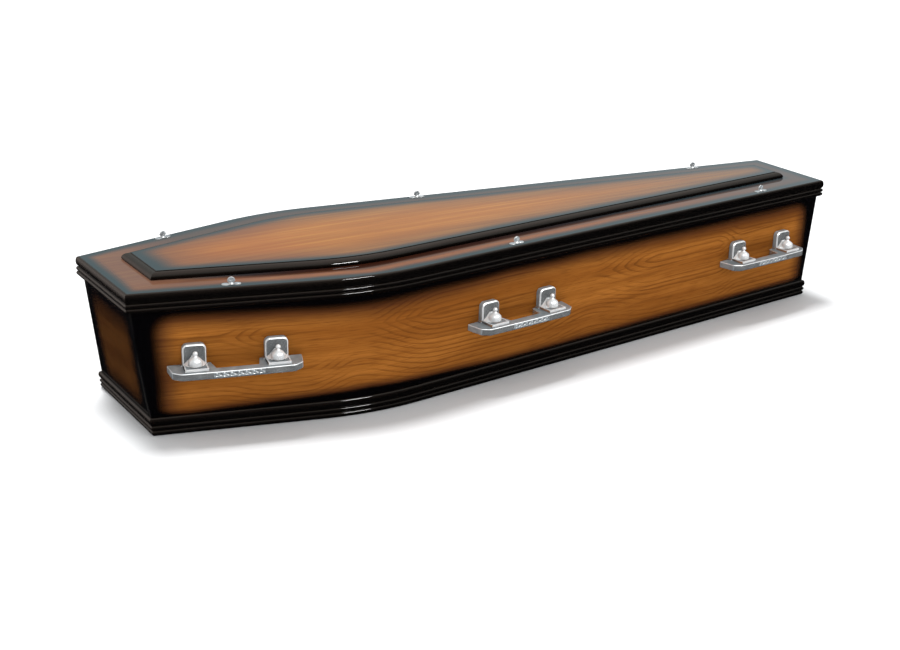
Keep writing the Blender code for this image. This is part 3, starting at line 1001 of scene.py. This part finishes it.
# Dark red on the lid's near side by the panel's moulding: stain, with painted shade and reflection of that
# moulding
LID_RED_STAIN_AND_PAINTED_SHADE = (0.034, 0.010, 0.005, 1)
LID_WOOD = (0.460, 0.166, 0.031, 1)
LID_STREAK = (0.575, 0.270, 0.047, 1)
LID_HEAD_WOOD = (0.300, 0.070, 0.022, 1)
LID_MARGIN_WOOD = (0.370, 0.130, 0.095, 1)
BARE_WOOD = (0.32, 0.19, 0.09, 1)
MOULDING_BLACK = (0.0022, 0.0018, 0.0016, 1)
# The brown of the painted highlight on the mouldings' up- and head-facing faces, with some wear from rubbing
MOULDING_PAINTED_HIGHLIGHT_BROWN = (0.027, 0.020, 0.016, 1)

# Along the board, as shares of its length: how far the heart of the tree is below the face, in metres.
# The rings close in a V wherever it changes.
HEART_DEPTHS = (
    (0.090, 0.044), (0.150, 0.010), (0.180, 0.014), (0.240, 0.066), (0.350, 0.010),
    (0.480, 0.012), (0.580, 0.060), (0.700, 0.010), (0.800, 0.006), (0.850, 0.040),
)
# Where along the board the rings over the heart show, and how clearly
HEART_CLEARNESS = (
    (0.060, 1.0), (0.150, 1.0), (0.190, 0.1), (0.240, 0.1), (0.275, 1.0),
    (0.470, 1.0), (0.510, 0.2), (0.570, 0.2), (0.600, 1.0), (0.900, 1.0),
)
SIDE_HEART = 0.205
HEART_ROUNDNESS = 1.3
RINGS_PER_METRE = 95
RING_SWAY = 3.6
RING_WOBBLE = 0.9

# The grain's layers: changes in a metre along and across the board, shift in depth, detail, roughness
GRAIN = {
    "sway": (0.9, 4.0, 0.0, 1.0, 0.5),
    "wobble": (4.5, 40.0, 0.0, 3.0, 0.5),
    "strong": (1.7, 34.0, 4.0, 2.0, 0.5),
    "streak": (4.5, 150.0, 6.0, 2.0, 0.6),
    "broad": (1.6, 26.0, 9.0, 3.0, 0.5),
    "fibre": (11.0, 300.0, 0.0, 4.0, 0.68),
    "pores": (22.0, 620.0, 2.0, 1.0, 0.5),
    "lid_streak": (2.2, 75.0, 3.0, 3.0, 0.6),
}
WOOD_EVENNESS = 0.40
STREAK_SHARE = 0.34
FIBRE_SHARE = 0.50
PORE_SHARE = 0.45
WAVER_WIDTH = 0.02

# Fine relief, in metres
SIDE_RELIEF = 0.00003
LID_RELIEF = 0.00002
BARE_RELIEF = 0.00006
MOULDING_RELIEF = 0.000002
PLATING_RELIEF = 0.00003

# The black borders of the side boards: how far each is all black, and over how much it clears
BORDER_UNDER_LID = (0.004, 0.062)
BORDER_OVER_BASE = (0.0, 0.028)
BORDER_AT_HEAD = (0.052, 0.078)
BORDER_AT_FOOT = (0.036, 0.070)

# The grey shading copy and the near-white highlight copy are the same plating made duller and whiter: painted
# light and shade laid on faces of the castings
# Platings: metallic share, darker and lighter colour, roughness
PLATINGS = {
    "bright_plated_casting": (0.80, (0.50, 0.52, 0.53, 1), (0.66, 0.68, 0.69, 1), 0.12),
    "satin_plated_casting": (0.35, (0.27, 0.30, 0.32, 1), (0.38, 0.42, 0.44, 1), 0.28),
    "painted_highlight_casting": (0.42, (0.88, 0.90, 0.91, 1), (0.97, 0.98, 0.98, 1), 0.12),
    "plated_thumb_screw": (0.55, (0.60, 0.62, 0.63, 1), (0.78, 0.80, 0.80, 1), 0.18),
}


def grain(board, layer, along, across, depth):
    """One layer of the grain at this place."""
    often_along, often_across, shift, detail, roughness = GRAIN[layer]
    return board.noise(along * often_along, across * often_across, depth + shift, detail, roughness)


def wood_colour(board, along, across, depth, contrast, heart=None):
    """Flat-sawn grain: rings that run along the board, and long V figures over the tree's heart."""
    place = (along, across, depth)
    rings = across * RINGS_PER_METRE
    clearness = 1.0
    if heart is not None:
        share = along / LENGTH + 0.5
        below = board.ramp(share, HEART_DEPTHS)
        offset = across - heart
        from_heart = abs(offset) ** HEART_ROUNDNESS + below**HEART_ROUNDNESS
        rings = from_heart ** (1 / HEART_ROUNDNESS) * RINGS_PER_METRE
        clearness = board.ramp(share, HEART_CLEARNESS).most(abs(offset).rise(0.04, 0.09))
    rings = rings + grain(board, "sway", *place) * RING_SWAY + grain(board, "wobble", *place) * RING_WOBBLE
    ring = rings.part()
    line = ring.rise(0.48, 0.92) * (1.0 - ring.rise(0.92, 1.0))
    strong = grain(board, "strong", *place).rise(0.38, 0.62)
    streak = grain(board, "streak", *place).rise(0.56, 0.70)
    broad = grain(board, "broad", *place).rise(0.30, 0.70)
    fibre = grain(board, "fibre", *place)
    pores = grain(board, "pores", *place).rise(0.58, 0.74)
    colour = board.blend(broad, DEEP_WOOD, LIGHT_WOOD)
    colour = board.blend(WOOD_EVENNESS, colour, WOOD)
    colour = board.blend(line * clearness * (strong * 0.46 + 0.10) * contrast, colour, RING_WOOD)
    colour = board.blend(streak * (STREAK_SHARE * contrast), colour, RING_WOOD)
    colour = board.blend(fibre.rise(0.40, 0.68) * (FIBRE_SHARE * contrast), colour, DEEP_WOOD)
    colour = board.blend(pores * (PORE_SHARE * contrast), colour, RING_WOOD)
    return colour, fibre


def coated(name):
    """Stained wood under a clear gloss coat."""
    return Finish(
        name, Roughness=0.5, Specular_IOR_Level=0.0, Coat_Weight=1.0, Coat_Roughness=0.03, Coat_IOR=1.5
    )


def waver(board, x, y, z):
    """The spray gun's slow waver, in metres to either side."""
    return (board.noise(x * 5.0, y * 5.0, z * 9.0, 1.0) - 0.5) * WAVER_WIDTH


def cleared(distance, border):
    """How far the stain has cleared at a distance from an edge: 0 in the black, 1 in the open wood."""
    black, clearing = border
    return (distance - black) / clearing


def side_material():
    """The side boards: grain along x, stained black along the top, the foot and both ends."""
    board = coated("orange_stained_side")
    x, y, z = board.place()
    colour, fibre = wood_colour(board, x, z, y * 0.3 + 2.0, 1.0, SIDE_HEART)
    drift = waver(board, x, y, z)
    at_bend = (1.0 - abs(x - SHOULDER_X) * 2.6).most(0.0)
    from_lid = cleared(LID_BEADS_FOOT - z + drift * 0.5 - at_bend * 0.008, BORDER_UNDER_LID)
    from_base = cleared(z - BASE_BEADS_TOP + drift * 0.2 - at_bend * 0.014, BORDER_OVER_BASE)
    from_head = cleared(x - HEAD_X + drift * 0.4 + z * 0.05, BORDER_AT_HEAD)
    from_foot = cleared(FOOT_X - x + drift * 0.4, BORDER_AT_FOOT)
    short_up = (1.0 - from_lid.least(from_base)).most(0.0)
    short_along = (1.0 - from_head.least(from_foot)).most(0.0)
    light = (1.0 - (short_up**3 + short_along**3) ** (1 / 3)).rise(0.0, 0.96)
    dark = board.blend(light.rise(0.0, 0.35), BLACK_STAIN, RED_STAIN)
    return board.paint(board.blend(light, dark, colour), fibre, SIDE_RELIEF)


def end_material():
    """The end boards: grain across, stained far darker, with a wide black border."""
    board = coated("dark_stained_end")
    x, y, z = board.place()
    colour, fibre = wood_colour(board, y, z, x * 0.2 + 7.0, 1.0)
    drift = waver(board, x, y, z)
    from_side = HEAD_HALF_WIDTH - BODY_INSET - abs(y) + drift * 0.3
    below_lid = LID_BEADS_FOOT - z + drift * 0.3
    above_base = z - BASE_BEADS_TOP + drift * 0.3
    light = from_side.rise(0.016, 0.070) * below_lid.rise(0.010, 0.090) * above_base.rise(0.0, 0.050)
    return board.paint(board.blend(light * 0.20, BLACK_STAIN, colour), fibre, SIDE_RELIEF)


def rim_distance(board, x, y, soft):
    """How far the shaded point is inside the rim line, with the corners rounded off by soft."""
    distance = (x - HEAD_X).soft_least(FOOT_X - x, soft)
    for start, along in side_lines():
        out = normal_of(along)
        distance = distance.soft_least(start.dot(out) - x * out.x - abs(y) * out.y, soft)
    return distance


def lid_wood(board, x, y, depth):
    """The lid's wood, rosier than the sides', with light streaks."""
    colour, fibre = wood_colour(board, x, y, depth, 0.9)
    colour = board.blend(0.45, colour, LID_WOOD)
    streak = grain(board, "lid_streak", x, y, depth).rise(0.45, 0.68)
    return board.blend(streak * 0.42, colour, LID_STREAK), fibre


def lid_material():
    """The lid board: a faint stripe of wood between the black rim and the dark surround of the panel, with
    painted shade by the panel's moulding on the near side.
    """
    board = coated("orange_stained_lid")
    x, y, z = board.place()
    colour, fibre = lid_wood(board, x, y, 12.0)
    colour = board.blend(0.40, colour, LID_MARGIN_WOOD)
    drift = waver(board, x, y, z)
    inside = rim_distance(board, x, y, 0.012) + drift * 0.8
    # The near side, towards the camera: the panel's dark surround is pushed out and turned dark red there as
    # painted shade and reflection of the panel's moulding, and the stripe is lighter than on the far side,
    # whose dimmer stripe is a painted reflection of the moulding
    near = (y * -1.0).rise(0.07, 0.20)
    at_head = (x * -1.0).rise(0.70, 0.93)
    outer = inside.rise(0.010, 0.038)
    inner = (inside + near * 0.016 - at_head * 0.022).rise(0.050, 0.078)
    light = outer * (1.0 - inner) * (near.most(at_head * 0.6) * 0.45 + 0.15)
    dark = board.blend(outer * near, LID_BLACK_STAIN_AND_PAINTED_SKY, LID_RED_STAIN_AND_PAINTED_SHADE)
    return board.paint(board.blend(light, dark, colour), fibre, LID_RELIEF)


def panel_material():
    """The raised panel: wood in the middle, black all round its edge."""
    board = coated("orange_stained_panel")
    x, y, z = board.place()
    colour, fibre = lid_wood(board, x, y, 21.0)
    colour = board.blend((x * -1.0).rise(0.44, 0.64) * 0.40, colour, LID_HEAD_WOOD)
    inside = rim_distance(board, x, y, 0.030) - PANEL_EDGE
    inside = inside.soft_least((x - HEAD_X - PANEL_EDGE) * 0.55, 0.03) + waver(board, x, y, z) * 0.8
    light = inside.rise(0.0, 0.038) * (inside.rise(0.010, 0.12) * 0.44 + 0.52)
    light = light * (1.0 - x.rise(-0.10, 0.95) * 0.28)
    # The black edge carries a teal tint, a painted sky reflection
    return board.paint(board.blend(light, LID_BLACK_STAIN_AND_PAINTED_SKY, colour), fibre, LID_RELIEF)


def moulding_material():
    """Black-brown stain, browner where the moulding faces up or towards the head: painted highlight with some
    wear from rubbing, in patches.
    """
    board = coated("black_stained_moulding")
    x, y, z = board.place()
    faces = board.place("Normal")
    fine_noise = board.noise(x * 12.0, y * 120.0, z * 160.0, 2.0, 0.6)
    highlight_patches = board.noise(x * 4.0, y * 6.0, z * 12.0, 1.0).rise(0.30, 0.70)
    # Painted highlight: faces turned up or towards the head get the browner colour, as if the light caught
    # them, varied in patches
    wear_and_painted_highlight = (faces[2] + faces[0] * -0.45).rise(0.05, 1.0) * (highlight_patches * 0.20 + fine_noise * 0.08 + 0.70)
    return board.paint(board.blend(wear_and_painted_highlight, MOULDING_BLACK, MOULDING_PAINTED_HIGHLIGHT_BROWN), fine_noise, MOULDING_RELIEF)


def plated(name):
    """Plating over a casting, dulled in patches."""
    metallic, darker, lighter, roughness = PLATINGS[name]
    board = Finish(name, Metallic=metallic)
    x, y, z = board.place()
    dull = board.noise(x * 45.0, y * 45.0, z * 45.0, 3.0)
    peel = board.noise(x * 150.0, y * 150.0, z * 150.0, 1.0)
    board.feed("Roughness", dull.rise(0.3, 0.75) * 0.10 + roughness)
    return board.paint(board.blend(dull.rise(0.35, 0.7), darker, lighter), peel, PLATING_RELIEF)


def inside_material():
    """Bare board inside and below."""
    board = Finish("bare_board", Roughness=0.6)
    x, y, z = board.place()
    colour, fibre = wood_colour(board, x, y, z * 3.0 + 30.0, 1.0)
    return board.paint(board.blend(0.5, colour, BARE_WOOD), fibre, BARE_RELIEF)


# Studio

FLOOR_SIZE = 120
FLOOR_COLOUR = (0.955, 0.965, 0.975, 1)
SUN_DIRECTION = (0.0, 0.32, 0.947)
SUN_SOFTNESS = 16.0
SUN_STRENGTH = 2.6
# Soft boxes: aim, direction, distance, size and radiance
CASTING_LIGHT = ((0.0, -0.2, 0.2), (0.10, -0.66, 0.70), 3.4, (6.0, 3.2), 2.2)
SMALL_LIGHT = ((-0.43, -0.28, 0.31), (0.235, -0.700, 0.674), 4.0, (0.85, 0.30), 68)


def make_floor():
    bpy.ops.object.select_all(action="DESELECT")
    bpy.ops.mesh.primitive_plane_add(size=FLOOR_SIZE)
    floor = bpy.context.object
    floor.name = "studio_floor"
    floor.visible_glossy = False
    paint = Finish("pale_floor", Base_Color=FLOOR_COLOUR, Roughness=0.9, Specular_IOR_Level=0.0)
    floor.data.materials.append(paint.material)


def hang(name, lamp, direction):
    """Hangs the lamp in the studio, shining from this direction."""
    light = bpy.data.objects.new(name, lamp)
    light.rotation_euler = Vector(direction).to_track_quat("Z", "Y").to_euler()
    bpy.context.collection.objects.link(light)
    return light


def make_sun():
    """The key light, from above and behind. It casts the shadow and isn't seen in reflections."""
    lamp = bpy.data.lights.new("key_light", "SUN")
    lamp.angle = math.radians(SUN_SOFTNESS)
    lamp.energy = SUN_STRENGTH
    hang("key_light", lamp, SUN_DIRECTION).visible_glossy = False


def make_lamp(name, aim, direction, distance, size, radiance):
    """A flat soft box that faces aim from this direction, as bright as radiance all over."""
    lamp = bpy.data.lights.new(name, "AREA")
    lamp.shape = "RECTANGLE"
    lamp.size, lamp.size_y = size
    lamp.energy = radiance * math.pi * size[0] * size[1]
    light = hang(name, lamp, direction)
    light.location = Vector(aim) + Vector(direction).normalized() * distance
    return light


ROOM_LIGHT = (0.70, 0.70, 0.70, 1)
ROOM_WALL = (1.0, 1.0, 1.0, 1)
MIRRORED_GROUND = (0.010, 0.010, 0.011, 1)
MIRRORED_WALL = (0.30, 0.33, 0.32, 1)
MIRRORED_FAR_WALL = (0.56, 0.62, 0.64, 1)
MIRRORED_LEFT_WALL = (0.52, 0.47, 0.44, 1)
MIRRORED_CEILING = (0.44, 0.41, 0.39, 1)


def make_sky():
    """Even light from all round. In reflections the room is bright behind and above, and dark in front."""
    world = bpy.data.worlds.new("studio")
    bpy.context.scene.world = world
    world.use_nodes = True
    board = Board(world.node_tree)
    x, y, z = board.place("Generated")
    azimuth = math.radians(CAMERA_AZIMUTH)
    behind = x * -math.sin(azimuth) + y * math.cos(azimuth)
    height = z + behind * 0.45
    wall = board.blend(z.rise(0.20, 0.32), MIRRORED_FAR_WALL, MIRRORED_WALL)
    mirrored = board.blend(height.rise(0.30, 0.72), MIRRORED_GROUND, wall)
    left = (x * -1.0).rise(0.15, 0.40) * y.rise(0.0, 0.3) * z.rise(-0.40, 0.05)
    mirrored = board.blend(left, mirrored, MIRRORED_LEFT_WALL)
    mirrored = board.blend(height.rise(0.80, 1.05), mirrored, MIRRORED_CEILING)
    seen = board.add("LightPath", {}, {}, "Is Camera Ray")
    glossy = board.add("LightPath", {}, {}, "Is Glossy Ray")
    colour = board.blend(seen, ROOM_LIGHT, ROOM_WALL)
    colour = board.blend(glossy, colour, mirrored)
    board.plug(world.node_tree.nodes["Background"].inputs["Color"], colour)


def light_only(lamp, name, pieces):
    """Lets the lamp light these pieces alone."""
    lit = bpy.data.collections.new(name)
    for piece in pieces:
        lit.objects.link(piece)
    lamp.light_linking.receiver_collection = lit


def light_the_metal():
    """A soft box above the camera for the castings, and a small one that glints on the near mouldings too."""
    cast_names = ("_cast_", "lid_screw")
    castings = [piece for piece in bpy.data.objects if any(name in piece.name for name in cast_names)]
    for piece in castings:
        piece.visible_glossy = False
    wide = make_lamp("casting_light", *CASTING_LIGHT)
    light_only(wide, "castings", castings)
    small = make_lamp("small_light", *SMALL_LIGHT)
    small.visible_diffuse = False
    near_mouldings = [piece for piece in bpy.data.objects if piece.name.endswith("right_trim")]
    light_only(small, "castings_and_near_mouldings", castings + near_mouldings)


def make_camera():
    place = Matrix.Translation(CAMERA_PLACE)
    for angle, axis in ((CAMERA_AZIMUTH, "Z"), (90 - CAMERA_ELEVATION, "X"), (CAMERA_ROLL, "Z")):
        place = place @ Matrix.Rotation(math.radians(angle), 4, axis)
    lens = bpy.data.cameras.new("camera")
    lens.sensor_width = CAMERA_SENSOR
    lens.lens = CAMERA_LENS
    camera = bpy.data.objects.new("camera", lens)
    camera.matrix_world = place
    bpy.context.collection.objects.link(camera)
    bpy.context.scene.camera = camera


def restain(node, material):
    """Gives a carried-over board its own material."""
    nodes[node].data.materials.clear()
    nodes[node].data.materials.append(material)


def build():
    make_camera()
    make_floor()
    make_sky()
    make_sun()

    side_boards(side_material())
    end = end_material()
    restain("head_end", end)
    restain("foot_end", end)
    restain("base_board", inside_material())
    flat_board("lid_flat_board", BEAD_QUIRK + GAP, BODY_TOP, LID_TOP, lid_material(), "lid_board")
    panel = panel_material()
    flat_board("lid_raised_board", PANEL_EDGE + GAP, LID_TOP + GAP, PANEL_TOP, panel, "raised_panel")

    trim = moulding_material()
    moulding_set("base_moulding", bead_profile(BASE_BEADS, 0.0), BODY_INSET - GAP, trim, raked=True)
    moulding_set("lid_moulding", bead_profile(LID_BEADS, LID_BEADS_FOOT), BEAD_QUIRK, trim)
    moulding_set("panel_moulding", panel_profile(), PANEL_EDGE, trim)

    painted_grey = plated("satin_plated_casting")
    fit_handles(plated("bright_plated_casting"), painted_grey, plated("painted_highlight_casting"))
    fit_thumb_screws(plated("plated_thumb_screw"), painted_grey)
    light_the_metal()
    bpy.context.scene.view_settings.view_transform = "Standard"


build()
